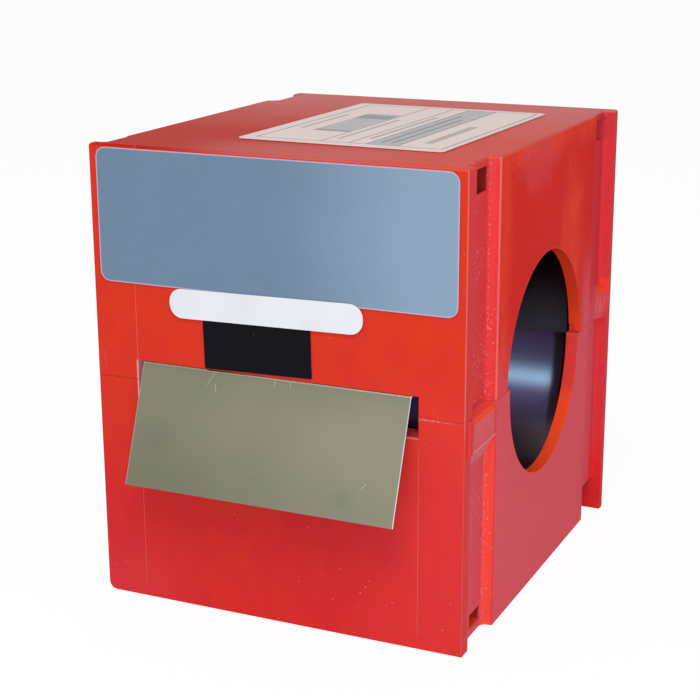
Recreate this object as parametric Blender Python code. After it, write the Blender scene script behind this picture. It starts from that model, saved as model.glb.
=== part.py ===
"""A strip dispenser: two moulded half shells round a coil of thin steel strip.

Lengths are metres and +Z is up. The front, with the slot, faces -Y. The origin
is the middle of the underside. The box looks the same after half a turn about
the Z axis, so each side profile is drawn once and turned for the other side.
"""

import math

import bmesh
import bpy
from mathutils import Matrix, Vector

# Box
PANEL_WIDTH = 0.0672
WALL = 0.0022
FLOOR = 0.0022
TOP_EDGE_RADIUS = 0.0004
TOP_EDGE_STEPS = 2
PART_GAP = 0.0003

# Side profile, read from the front edge back to the rear edge
FLANGE_SETBACK = 0.00045
FLANGE_THICK = 0.0028
FLANGE_FILLET = 0.0008
GROOVE_DEPTH = 0.0020
GROOVE_FILLET = 0.0013
PANEL_FRONT = 0.0135
PANEL_REAR = 0.0089
LAND_SETBACK = 0.00045
LAND_FILLET = 0.0008
RAIL_REACH = 0.0017
RAIL_THICK = 0.0018
RAIL_FOOT_RADIUS = 0.0020
RAIL_FOOT_STEPS = 5
FILLET_STEPS = 4

# Tongue of the lower shell, which the rebate of the upper shell takes
TONGUE_THICK = 0.0009
TONGUE_HEIGHT = 0.0015
FIT_GAP = 0.0003

# Stop blocks under and above the parting line, and the windows and notches in the sides
STOP_HEIGHT = 0.0058
STOP_TAPER = 0.0062
STOP_SETBACK = 0.0001
CATCH_LENGTH = 0.0037
CATCH_HEIGHT = 0.0054
CATCH_CHAMFER = 0.0014
WINDOW_DEPTH = 0.0050
WINDOW_EDGE = 0.0009
UPPER_WINDOW_HEIGHT = 0.0040
LOWER_WINDOW_HEIGHT = 0.0026
WINDOW_MARGIN = 0.0014
NOTCH_HEIGHT = 0.0065
NOTCH_EDGE = 0.0001

# Finger holes through both sides
HOLE_RADIUS_UPPER = 0.0211
HOLE_RADIUS_LOWER = 0.0195
HOLE_DROP = 0.0010
HOLE_SHIFT = 0.0009
HOLE_STEPS = 80

# Slot for the strip
SLOT_HEIGHT = 0.0070
SLOT_SIDE_CLEARANCE = 0.0012
SLOT_LAND = 0.0002
SLOT_RAMP_ANGLE = math.radians(56)
LIP_THICK = 0.0015
LIP_CLEARANCE = 0.0006
LIP_OVERHANG = 0.0020

# Strip and its coil, with the room that the box leaves round it
STRIP_WIDTH = 0.0500
STRIP_LENGTH = 2.5000
STRIP_THICK = 0.0001
COIL_RADIUS = 0.0342
COIL_GAP = 0.0003
FRONT_ROOM = 0.0026
HEAD_ROOM = 0.0085
COIL_DRIFT = 0.0036
COIL_STEPS = 80
TURN_STAGGER = 0.00025
TURN_STAGGER_STEP = 3
TURN_STAGGER_CYCLE = 5

# Lead, the end of the strip that hangs out of the slot
LEAD_DEPTH_IN_COIL = 0.00030
LEAD_BELOW_SLOT_TOP = 0.0006
LEAD_STAND_OFF = 0.0001
LEAD_HANG = 0.0209
LEAD_LEAN = math.radians(21.0)
LEAD_BEND_RADIUS = 0.0012
LEAD_BEND_STEPS = 5

# Stickers
STICKER_THICK = 0.00012
STICKER_GAP = 0.00010
FRONT_LABEL_MARGIN = 0.0014
FRONT_LABEL_TOP = 0.0005
FRONT_LABEL_ABOVE_SLOT = 0.01365
FRONT_LABEL_CORNER = 0.0018
SIZE_STICKER_WIDTH = 0.0358
SIZE_STICKER_HEIGHT = 0.0051
SIZE_STICKER_CORNER = 0.0023
SIZE_STICKER_OVERLAP = 0.0003
SIZE_STICKER_SHIFT = -0.0013
SIZE_STICKER_TILT = math.radians(1.1)
GAUGE_STICKER_WIDTH = 0.0201
GAUGE_STICKER_HEIGHT = 0.0098
GAUGE_STICKER_CORNER = 0.0003
GAUGE_STICKER_SHIFT = -0.0029
GAUGE_STICKER_TILT = math.radians(1.4)
GAUGE_STICKER_MARGIN = 0.0004
TOP_LABEL_WIDTH = 0.0382
TOP_LABEL_LENGTH = 0.0500
TOP_LABEL_CORNER = 0.0010
TOP_LABEL_SHIFT = (0.0054, 0.0003)
TOP_LABEL_TILT = math.radians(-1.4)
CORNER_STEPS = 6

# Worked out from the sizes above
BOX_DEPTH = 2 * (COIL_RADIUS + WALL) + COIL_GAP + FRONT_ROOM
BOX_HEIGHT = 2 * (COIL_RADIUS + FLOOR) + COIL_GAP + HEAD_ROOM
FRONT = -BOX_DEPTH / 2
REAR = BOX_DEPTH / 2
PANEL_X = PANEL_WIDTH / 2
FLANGE_X = PANEL_X - FLANGE_SETBACK
RAIL_X = PANEL_X + RAIL_REACH
GROOVE_X = PANEL_X - GROOVE_DEPTH
LAND_X = PANEL_X - LAND_SETBACK
PANEL_START = FRONT + PANEL_FRONT
PANEL_END = REAR - PANEL_REAR
RAIL_FACE = REAR - RAIL_THICK
FACE_X = (FLANGE_X - RAIL_X) / 2
FACE_WIDTH = FLANGE_X + RAIL_X
PARTING = BOX_HEIGHT / 2
LOWER_TOP = PARTING - PART_GAP / 2
UPPER_BOTTOM = PARTING + PART_GAP / 2
SLOT_TOP = PARTING + SLOT_HEIGHT / 2
SLOT_BOTTOM = PARTING - SLOT_HEIGHT / 2
SLOT_WIDTH = STRIP_WIDTH + 2 * SLOT_SIDE_CLEARANCE
COIL_Y = REAR - WALL - COIL_GAP - COIL_RADIUS
COIL_Z = FLOOR + COIL_GAP + COIL_RADIUS
HOLE_Y = COIL_Y + HOLE_SHIFT
HOLE_Z = PARTING - HOLE_DROP
HALF_TURN = Matrix.Rotation(math.pi, 4, "Z")

# How far a cutter runs past what it cuts, and how near counts as level
REACH = 0.0050
LEVEL = 0.000001


def clear_scene():
    for obj in list(bpy.data.objects):
        bpy.data.objects.remove(obj, do_unlink=True)


def principled(name, colour, roughness, metallic=0.0):
    material = bpy.data.materials.new(name)
    material.use_nodes = True
    shader = material.node_tree.nodes["Principled BSDF"]
    shader.inputs["Base Color"].default_value = (*colour, 1.0)
    shader.inputs["Roughness"].default_value = roughness
    shader.inputs["Metallic"].default_value = metallic
    return material


def new_object(name, bm, material=None):
    """A mesh object from bm, which it frees."""
    mesh = bpy.data.meshes.new(name)
    bmesh.ops.recalc_face_normals(bm, faces=bm.faces)
    bm.to_mesh(mesh)
    bm.free()
    obj = bpy.data.objects.new(name, mesh)
    bpy.context.scene.collection.objects.link(obj)
    if material:
        mesh.materials.append(material)
    return obj


def swept(points, along):
    """A bmesh of the flat outline through points, extruded by the vector along."""
    bm = bmesh.new()
    face = bm.faces.new([bm.verts.new(point) for point in points])
    grown = bmesh.ops.extrude_face_region(bm, geom=[face])["geom"]
    moved = [item for item in grown if isinstance(item, bmesh.types.BMVert)]
    bmesh.ops.translate(bm, verts=moved, vec=along)
    return bm


def upright(outline, bottom, top):
    """A bmesh of an outline in plan between two heights."""
    points = [(x, y, bottom) for x, y in outline]
    return swept(points, (0.0, 0.0, top - bottom))


def arc(centre, radius, start, end, steps):
    """Points on an arc, with angles in degrees and both ends included."""
    angles = [math.radians(start + (end - start) * i / steps) for i in range(steps + 1)]
    return [(centre[0] + radius * math.cos(a), centre[1] + radius * math.sin(a)) for a in angles]


def both_sides(right):
    """A full outline in plan from its right side, read front to rear."""
    return right + [(-x, -y) for x, y in right]


def outer_plan():
    """The box in plan: flange, groove, panel, land and rail on each side."""
    flange_back = FRONT + FLANGE_THICK
    flange_arc = (GROOVE_X + FLANGE_FILLET, flange_back + FLANGE_FILLET)
    groove_arc = (GROOVE_X + GROOVE_FILLET, PANEL_START - GROOVE_FILLET)
    land_arc = (LAND_X + LAND_FILLET, RAIL_FACE - LAND_FILLET)
    right = [(FLANGE_X, FRONT), (FLANGE_X, flange_back)]
    right += arc(flange_arc, FLANGE_FILLET, 270, 180, FILLET_STEPS)
    right += arc(groove_arc, GROOVE_FILLET, 180, 90, FILLET_STEPS)
    right += [(PANEL_X, PANEL_START), (PANEL_X, PANEL_END), (LAND_X, PANEL_END)]
    right += arc(land_arc, LAND_FILLET, 180, 90, FILLET_STEPS)
    right += [(RAIL_X, RAIL_FACE), (RAIL_X, REAR)]
    return both_sides(right)


def inner_plan(inset):
    """The plan at a distance inside the walls, which follow the groove, the panel and the land."""
    groove = GROOVE_X - inset
    panel = PANEL_X - inset
    land = LAND_X - inset
    right = [(groove, FRONT + inset), (groove, PANEL_START + inset), (panel, PANEL_START + inset)]
    right += [(panel, PANEL_END - inset), (land, PANEL_END - inset), (land, REAR - inset)]
    return both_sides(right)


def helper(name, bm):
    """A shape that only cuts or joins: it isn't rendered and isn't a piece."""
    obj = new_object(name, bm)
    obj.hide_render = True
    obj.display_type = "WIRE"
    return obj


def combine(obj, operation, name, bm):
    """Cuts bm from obj, or joins it on, with a live Boolean."""
    modifier = obj.modifiers.new(name, "BOOLEAN")
    modifier.operation = operation
    modifier.solver = "EXACT"
    modifier.object = helper(name, bm)


def on_both_sides(obj, operation, name, make):
    """Combines a shape made for the right side, and the same one turned to the left."""
    combine(obj, operation, name + "_right", make())
    turned = make()
    bmesh.ops.transform(turned, matrix=HALF_TURN, verts=turned.verts)
    combine(obj, operation, name + "_left", turned)


def round_box_edges(bm, level):
    """Rounds the outer rim at one height of an upright block."""
    rim = [edge for edge in bm.edges if all(abs(vert.co.z - level) < LEVEL for vert in edge.verts)]
    bmesh.ops.bevel(
        bm,
        geom=rim,
        offset=TOP_EDGE_RADIUS,
        segments=TOP_EDGE_STEPS,
        profile=0.5,
        affect="EDGES",
        material=-1,
    )


def round_rail_foot(bm):
    """Rounds the outer bottom corner of the front left rail."""
    foot = [
        edge
        for edge in bm.edges
        if all(vert.co.z < LEVEL and vert.co.x < LEVEL - RAIL_X for vert in edge.verts)
    ]
    bmesh.ops.bevel(
        bm,
        geom=foot,
        offset=RAIL_FOOT_RADIUS,
        segments=RAIL_FOOT_STEPS,
        profile=0.5,
        affect="EDGES",
        material=-1,
    )


def keep_below(bm, point, normal):
    """Cuts bm at a plane, takes away the side that the normal points to and closes the cut."""
    everything = bm.verts[:] + bm.edges[:] + bm.faces[:]
    cut = bmesh.ops.bisect_plane(
        bm, geom=everything, plane_co=point, plane_no=normal, clear_outer=True
    )["geom_cut"]
    rim = [item for item in cut if isinstance(item, bmesh.types.BMEdge)]
    if rim:
        bmesh.ops.contextual_create(bm, geom=rim)


def side_hole(radius, bottom, top):
    """Half of the bore through both sides, between two heights."""
    bm = bmesh.new()
    length = 2 * (RAIL_X + REACH)
    place = Matrix.Translation((0.0, HOLE_Y, HOLE_Z)) @ Matrix.Rotation(math.pi / 2, 4, "Y")
    bmesh.ops.create_cone(
        bm,
        cap_ends=True,
        segments=HOLE_STEPS,
        radius1=radius,
        radius2=radius,
        depth=length,
        matrix=place,
    )
    keep_below(bm, (0.0, 0.0, bottom), (0.0, 0.0, -1.0))
    keep_below(bm, (0.0, 0.0, top), (0.0, 0.0, 1.0))
    return bm


def side_cut(start, front, rear, bottom, top):
    """A square cut into the right side, from start outwards."""
    outline = [(start, front), (RAIL_X, front), (RAIL_X, rear), (start, rear)]
    return upright(outline, bottom, top)


def groove_window(bottom, height):
    """An opening through the floor of the groove, beside the panel."""
    rear = PANEL_START - WINDOW_EDGE
    start = GROOVE_X - WALL - WINDOW_EDGE
    return side_cut(start, rear - WINDOW_DEPTH, rear, bottom, bottom + height)


def land_window(bottom, height):
    """An opening through the land, beside the rail."""
    start = LAND_X - WALL - WINDOW_EDGE
    return side_cut(start, RAIL_FACE - WINDOW_DEPTH, RAIL_FACE, bottom, bottom + height)


def land_notch():
    """Takes the land away at the foot of the box, between the panel and the rail."""
    return side_cut(LAND_X - WALL - NOTCH_EDGE, PANEL_END, RAIL_FACE, -REACH, NOTCH_HEIGHT)


def stop_block():
    """Fills the wide groove under the parting line, and tapers away below."""
    outer = PANEL_X - STOP_SETBACK
    inner = GROOVE_X - WALL / 2
    foot = LOWER_TOP - STOP_HEIGHT
    outline = [(inner, LOWER_TOP), (outer, LOWER_TOP), (outer, foot), (inner, foot - STOP_TAPER)]
    start = FRONT + FLANGE_THICK / 2
    end = PANEL_START + WALL / 2
    return swept([(x, start, z) for x, z in outline], (0.0, end - start, 0.0))


def catch_block():
    """A wedge in plan between the land and the rail, above the parting line, sloped on top."""
    inner = LAND_X - WALL / 2
    outer = RAIL_X - STOP_SETBACK
    start = RAIL_FACE - CATCH_LENGTH
    back = RAIL_FACE + RAIL_THICK / 2
    outline = [(inner, start), (LAND_X, start), (outer, RAIL_FACE), (outer, back), (inner, back)]
    top = UPPER_BOTTOM + CATCH_HEIGHT
    bm = upright(outline, UPPER_BOTTOM, top + 2 * CATCH_CHAMFER)
    slope = Vector((CATCH_CHAMFER, 0.0, outer - LAND_X)).normalized()
    keep_below(bm, (outer, back, top), slope)
    return bm


def slot_cutter(ramped):
    """The slot through the front wall. Inside, the upper edge can lean up as a ramp."""
    reach = WALL + REACH
    rise = (reach - SLOT_LAND) * math.tan(SLOT_RAMP_ANGLE) if ramped else 0.0
    profile = [
        (FRONT - REACH, SLOT_BOTTOM),
        (FRONT + reach, SLOT_BOTTOM),
        (FRONT + reach, SLOT_TOP + rise),
        (FRONT + SLOT_LAND, SLOT_TOP),
        (FRONT - REACH, SLOT_TOP),
    ]
    left = FACE_X - SLOT_WIDTH / 2
    return swept([(left, y, z) for y, z in profile], (SLOT_WIDTH, 0.0, 0.0))


def slot_lip():
    """The ledge inside the front wall that the slot's lower edge runs out on."""
    half = SLOT_WIDTH / 2 + LIP_OVERHANG
    start = FRONT + WALL / 2
    end = FRONT + WALL + FRONT_ROOM - LIP_CLEARANCE
    outline = [(FACE_X - half, start), (FACE_X + half, start), (FACE_X + half, end)]
    outline.append((FACE_X - half, end))
    return upright(outline, SLOT_BOTTOM - LIP_THICK, SLOT_BOTTOM)


def lower_shell(material):
    body = upright(outer_plan(), 0.0, LOWER_TOP)
    round_rail_foot(body)
    shell = new_object("lower_shell", body, material)
    tongue_top = LOWER_TOP + TONGUE_HEIGHT
    tongue = upright(inner_plan(WALL - TONGUE_THICK), FLOOR, tongue_top)
    combine(shell, "UNION", "tongue_blank", tongue)
    cavity = upright(inner_plan(WALL), FLOOR, tongue_top + REACH)
    combine(shell, "DIFFERENCE", "lower_cavity", cavity)
    on_both_sides(shell, "UNION", "stop_block", stop_block)
    combine(shell, "UNION", "lip_blank", slot_lip())
    top = tongue_top + REACH
    combine(shell, "DIFFERENCE", "lower_slot", slot_cutter(ramped=False))
    combine(shell, "DIFFERENCE", "lower_hole", side_hole(HOLE_RADIUS_LOWER, 0.0, top))
    clearance = HOLE_RADIUS_UPPER + FIT_GAP
    combine(shell, "DIFFERENCE", "tongue_hole", side_hole(clearance, LOWER_TOP, top))
    height = LOWER_WINDOW_HEIGHT
    on_both_sides(shell, "DIFFERENCE", "lower_window", lambda: groove_window(WINDOW_MARGIN, height))
    on_both_sides(shell, "DIFFERENCE", "land_notch", land_notch)
    return shell


def upper_shell(material):
    body = upright(outer_plan(), UPPER_BOTTOM, BOX_HEIGHT)
    round_box_edges(body, BOX_HEIGHT)
    shell = new_object("upper_shell", body, material)
    bottom = UPPER_BOTTOM - REACH
    cavity = upright(inner_plan(WALL), bottom, BOX_HEIGHT - FLOOR)
    combine(shell, "DIFFERENCE", "upper_cavity", cavity)
    on_both_sides(shell, "UNION", "catch_block", catch_block)
    rebate = upright(
        inner_plan(WALL - TONGUE_THICK - FIT_GAP), bottom, UPPER_BOTTOM + TONGUE_HEIGHT
    )
    combine(shell, "DIFFERENCE", "rebate", rebate)
    combine(shell, "DIFFERENCE", "upper_slot", slot_cutter(ramped=True))
    combine(shell, "DIFFERENCE", "upper_hole", side_hole(HOLE_RADIUS_UPPER, bottom, BOX_HEIGHT))
    height = UPPER_WINDOW_HEIGHT
    sill = BOX_HEIGHT - WINDOW_MARGIN - height
    on_both_sides(shell, "DIFFERENCE", "groove_window", lambda: groove_window(sill, height))
    on_both_sides(shell, "DIFFERENCE", "land_window", lambda: land_window(sill, height))
    return shell


def coil_ring():
    """The wound strip, turned about X.

    The coil has slid out towards the right like a telescope: the outermost turn is in line
    with the slot, and each turn inside it stands further right, a little out of line.
    """
    turns = round(STRIP_LENGTH / (2 * math.pi * COIL_RADIUS))
    inner = COIL_RADIUS - turns * STRIP_THICK
    right = []
    left = []
    for turn in range(turns):
        place = turn * TURN_STAGGER_STEP % TURN_STAGGER_CYCLE / (TURN_STAGGER_CYCLE - 1)
        drift = COIL_DRIFT * (1 - turn / (turns - 1))
        offset = drift + TURN_STAGGER * (2 * place - 1)
        near = inner + turn * STRIP_THICK
        far = near + STRIP_THICK
        right += [(STRIP_WIDTH / 2 + offset, near), (STRIP_WIDTH / 2 + offset, far)]
        left += [(offset - STRIP_WIDTH / 2, near), (offset - STRIP_WIDTH / 2, far)]
    bm = bmesh.new()
    loop = [bm.verts.new((x, 0.0, radius)) for x, radius in right + left[::-1]]
    edges = [bm.edges.new((a, b)) for a, b in zip(loop, loop[1:] + loop[:1])]
    bmesh.ops.spin(
        bm,
        geom=loop + edges,
        cent=(0.0, 0.0, 0.0),
        axis=(1.0, 0.0, 0.0),
        angle=2 * math.pi,
        steps=COIL_STEPS,
        use_merge=True,
    )
    bmesh.ops.translate(bm, verts=bm.verts, vec=(FACE_X, COIL_Y, COIL_Z))
    return bm


def lead_path():
    """Centre line of the lead in (y, z), from inside the coil to its free end."""
    slope = Vector((-math.sin(LEAD_LEAN), -math.cos(LEAD_LEAN)))
    bend = Vector((FRONT - LEAD_STAND_OFF, SLOT_TOP - LEAD_BELOW_SLOT_TOP))
    centre = Vector((COIL_Y, COIL_Z))
    radius = COIL_RADIUS - LEAD_DEPTH_IN_COIL
    away = bend - centre
    turn = math.acos(radius / away.length)
    angle = math.atan2(away.y, away.x) - turn
    start = centre + radius * Vector((math.cos(angle), math.sin(angle)))
    heading = (bend - start).normalized()
    # The bend is an arc that is tangent to both straight runs.
    sweep = heading.angle(slope)
    setback = LEAD_BEND_RADIUS * math.tan(sweep / 2)
    entry = bend - heading * setback
    side = Vector((heading.y, -heading.x))
    if side.dot(slope) < 0:
        side = -side
    middle = entry + side * LEAD_BEND_RADIUS
    points = [start]
    for step in range(LEAD_BEND_STEPS + 1):
        along = sweep * step / LEAD_BEND_STEPS
        forward = heading * math.sin(along) - side * math.cos(along)
        points.append(middle + forward * LEAD_BEND_RADIUS)
    points.append(bend + slope * LEAD_HANG)
    return points


def lead_strip():
    """The flat strip along the lead's path."""
    bm = bmesh.new()
    verts = [bm.verts.new((FACE_X - STRIP_WIDTH / 2, y, z)) for y, z in lead_path()]
    edges = [bm.edges.new(pair) for pair in zip(verts, verts[1:])]
    grown = bmesh.ops.extrude_edge_only(bm, edges=edges)["geom"]
    moved = [item for item in grown if isinstance(item, bmesh.types.BMVert)]
    bmesh.ops.translate(bm, verts=moved, vec=(STRIP_WIDTH, 0.0, 0.0))
    return bm


def foil_roll(material):
    roll = new_object("foil_roll", coil_ring(), material)
    modifier = roll.modifiers.new("lead", "BOOLEAN")
    modifier.operation = "UNION"
    modifier.solver = "EXACT"
    strip = helper("lead_blank", lead_strip())
    thickness = strip.modifiers.new("thickness", "SOLIDIFY")
    thickness.thickness = STRIP_THICK
    thickness.offset = 0.0
    modifier.object = strip
    return roll


def sticker(name, width, height, corner, material):
    """A thin sheet with rounded corners, flat on XY with its back on z = 0."""
    bm = bmesh.new()
    bmesh.ops.create_grid(bm, x_segments=1, y_segments=1, size=0.5)
    bmesh.ops.scale(bm, vec=(width, height, 1.0), verts=bm.verts)
    bmesh.ops.bevel(
        bm,
        geom=bm.verts[:],
        offset=corner,
        segments=CORNER_STEPS,
        profile=0.5,
        affect="VERTICES",
        material=-1,
    )
    grown = bmesh.ops.extrude_face_region(bm, geom=bm.faces[:])["geom"]
    moved = [item for item in grown if isinstance(item, bmesh.types.BMVert)]
    bmesh.ops.translate(bm, verts=moved, vec=(0.0, 0.0, STICKER_THICK))
    return new_object(name, bm, material)


def on_front(obj, x, z, tilt, layer):
    """Stands a sticker on the front face. Layer 0 lies on the box, and layer 1 on layer 0."""
    obj.rotation_euler = (math.pi / 2, tilt, 0.0)
    out = STICKER_GAP + layer * (STICKER_THICK + STICKER_GAP)
    obj.location = (x, FRONT - out, z)


def stickers():
    metal = principled("label_silver", (0.30, 0.38, 0.46), 0.45, 0.3)
    white = principled("sticker_white", (0.85, 0.84, 0.84), 0.5)
    black = principled("sticker_black", (0.01, 0.01, 0.012), 0.4)
    paper = principled("label_paper", (0.82, 0.80, 0.74), 0.6)

    # The front label fills the face from near its top to a set height above the slot.
    width = FACE_WIDTH - 2 * FRONT_LABEL_MARGIN
    label_top = BOX_HEIGHT - FRONT_LABEL_TOP
    label_bottom = SLOT_TOP + FRONT_LABEL_ABOVE_SLOT
    label = sticker("front_label", width, label_top - label_bottom, FRONT_LABEL_CORNER, metal)
    on_front(label, FACE_X, (label_top + label_bottom) / 2, 0.0, 0)

    size = sticker(
        "size_sticker", SIZE_STICKER_WIDTH, SIZE_STICKER_HEIGHT, SIZE_STICKER_CORNER, white
    )
    size_middle = label_bottom + SIZE_STICKER_OVERLAP - SIZE_STICKER_HEIGHT / 2
    on_front(size, FACE_X + SIZE_STICKER_SHIFT, size_middle, -SIZE_STICKER_TILT, 1)

    gauge = sticker(
        "gauge_sticker", GAUGE_STICKER_WIDTH, GAUGE_STICKER_HEIGHT, GAUGE_STICKER_CORNER, black
    )
    gauge_middle = SLOT_TOP + GAUGE_STICKER_MARGIN + GAUGE_STICKER_HEIGHT / 2
    on_front(gauge, FACE_X + GAUGE_STICKER_SHIFT, gauge_middle, -GAUGE_STICKER_TILT, 0)

    top = sticker("top_label", TOP_LABEL_WIDTH, TOP_LABEL_LENGTH, TOP_LABEL_CORNER, paper)
    top.rotation_euler = (0.0, 0.0, TOP_LABEL_TILT)
    top.location = (*TOP_LABEL_SHIFT, BOX_HEIGHT + STICKER_GAP)


def main():
    clear_scene()
    red = principled("red_plastic", (0.72, 0.045, 0.03), 0.35)
    steel = principled("steel_foil", (0.42, 0.41, 0.36), 0.3, 1.0)
    lower_shell(red)
    upper_shell(red)
    foil_roll(steel)
    stickers()


main()
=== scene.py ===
"""The finish of a coil of thin steel strip in its moulded dispenser box.

Lengths are metres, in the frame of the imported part: +X to the right, +Y back and +Z up,
with the slot and the hanging end of the strip at the front. The file is laid out as an
add-on and is run as a script.
"""

import math

import bmesh
import bpy
from bpy.props import FloatProperty, FloatVectorProperty, IntProperty, PointerProperty
from mathutils import Matrix, Vector


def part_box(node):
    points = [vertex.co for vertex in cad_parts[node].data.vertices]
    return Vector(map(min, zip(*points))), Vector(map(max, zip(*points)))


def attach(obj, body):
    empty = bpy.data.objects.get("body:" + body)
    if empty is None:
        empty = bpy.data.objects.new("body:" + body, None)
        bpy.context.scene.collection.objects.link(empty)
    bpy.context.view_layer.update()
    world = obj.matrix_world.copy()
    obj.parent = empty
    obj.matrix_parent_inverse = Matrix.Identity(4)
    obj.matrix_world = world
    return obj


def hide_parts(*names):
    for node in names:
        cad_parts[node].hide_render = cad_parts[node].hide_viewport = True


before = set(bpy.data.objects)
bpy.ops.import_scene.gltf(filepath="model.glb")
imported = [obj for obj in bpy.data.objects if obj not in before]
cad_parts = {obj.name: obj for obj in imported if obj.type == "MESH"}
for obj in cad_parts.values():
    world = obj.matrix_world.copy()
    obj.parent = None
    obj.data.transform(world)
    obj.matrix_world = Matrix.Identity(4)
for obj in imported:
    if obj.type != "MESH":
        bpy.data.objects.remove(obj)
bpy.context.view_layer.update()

bl_info = {
    "name": "Strip Dispenser Finish",
    "version": (1, 0, 0),
    "blender": (4, 5, 0),
    "location": "3D View > Sidebar > Dispenser",
    "description": "Finishes a moulded dispenser box, its coil of steel strip and its labels",
    "category": "Object",
}

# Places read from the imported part
LOWER_LOW, LOWER_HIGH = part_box("lower_shell")
ROLL_LOW, ROLL_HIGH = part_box("foil_roll")
FRONT = LOWER_LOW.y
REAR = LOWER_HIGH.y
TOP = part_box("upper_shell")[1].z
PARTING = TOP / 2

# Sizes that the finish shares with the part
WELD = 0.000002
FLAT_ANGLE = math.radians(0.3)
ROUNDED_ANGLE = math.radians(35)
STRIP_WIDTH = 0.0500
PART_GAP = 0.0003
REBATE_TOP = PART_GAP / 2 + 0.0015
COIL_RADIUS = (ROLL_HIGH.z - ROLL_LOW.z) / 2
COIL_Y = ROLL_HIGH.y - COIL_RADIUS
COIL_Z = ROLL_LOW.z + COIL_RADIUS
COIL_DRIFT = 0.0036
TURN_STAGGER = 0.00025
STAGGER_RATE = 0.37
LEAD_X = ROLL_LOW.x + STRIP_WIDTH / 2
PANEL_X = 0.0336
REBATE_X = PANEL_X - 0.0010
GROOVE_X = 0.0316
LAND_X = 0.03315
FLANGE_X = 0.03315
RAIL_FACE = 0.03605
RAIL_FOOT_RADIUS = 0.0020
STOP_HEIGHT = 0.0058
STOP_FOOT = 0.0105
PANEL_START = FRONT + 0.0135
PANEL_END = REAR - 0.0089
SLOT_HEIGHT = 0.0070
SLOT_TOP = PARTING + SLOT_HEIGHT / 2
SLOT_BOTTOM = PARTING - SLOT_HEIGHT / 2
SLOT_START = LEAD_X - 0.0262
SLOT_END = LEAD_X + 0.0262
LEAD_BELOW_SLOT_TOP = 0.0004
LEAD_STAND_OFF = 0.0001
LEAD_LENGTH = 0.0420
BEND_STEPS = 10
HOLE_RADIUS = 0.0211
LOWER_HOLE_RADIUS = 0.0195
HOLE_Y = COIL_Y + 0.0009
HOLE_Z = PARTING - 0.0010
FRONT_LABEL_CORNER = 0.0018

# Marks on the hanging end: place across, height above its free edge, size and strength
STRIP_SMUDGES = ((0.0052, 0.0090, 0.0070, 0.24), (0.0405, 0.0030, 0.0030, 0.28))
# Scratches on it: place across, height above its free edge, slope and half their length
STRIP_SCRATCHES = (
    (0.0135, 0.0200, 0.55, 0.0012),
    (0.0146, 0.0185, -0.30, 0.0007),
    (0.0255, 0.0206, 0.10, 0.0006),
    (0.0284, 0.0206, -0.20, 0.0005),
    (0.0440, 0.0060, 0.80, 0.0005),
)
SCRATCH_WIDTH = 0.0001

# Where the pattern of dust on the black sticker starts
SPECK_START = (0.017, 0.0119, 0.0051)

# The stage, with each lamp's name, place, size and power
FLOOR_REACH = 3.0
FLOOR_GLOW = 1.06
FLOOR_GLOW_SHARE = 0.85
ROOM_TINT = (0.97, 0.98, 1.0, 1.0)
ROOM_LIGHT = 0.42
LAMPS = (
    ("key_lamp", (0.16, -0.60, 0.92), 0.45, 4.2),
    ("low_lamp", (0.35, -0.66, 0.21), 0.10, 2.0),
)
SENSOR_WIDTH = 36.0

# The printed form on the paper, from the paper's middle: left, front, right and rear edges
PAPER_TURN = math.radians(1.4)
RULE_WIDTH = 0.00026
RULE_BLUR = 0.00008
FORM = (-0.0165, -0.0226, 0.0179, 0.0232)
FORM_COLUMNS = (-0.0043, 0.0010, 0.0042, 0.0098)
FORM_SHADES = ((0.0042, -0.0226, 0.0098, 0.0232), (-0.0114, -0.0116, -0.0046, 0.0118))
FORM_BARS = (
    (-0.0114, -0.0116, -0.0046, -0.0098),
    (-0.0114, 0.0052, -0.0046, 0.0100),
    (-0.0148, -0.0100, -0.0140, 0.0090),
    (-0.0030, -0.0190, -0.0022, 0.0060),
    (0.0020, -0.0170, 0.0029, 0.0120),
    (0.0055, -0.0200, 0.0064, 0.0150),
    (0.0074, -0.0200, 0.0083, 0.0110),
    (0.0126, -0.0180, 0.0142, 0.0030),
)


def colour_setting(name, place, default):
    """A colour that can be set. The place is what it colours."""
    return FloatVectorProperty(
        name=name, description="Colour of " + place, default=default, subtype="COLOR",
        min=0.0, max=1.0,
    )


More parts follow.
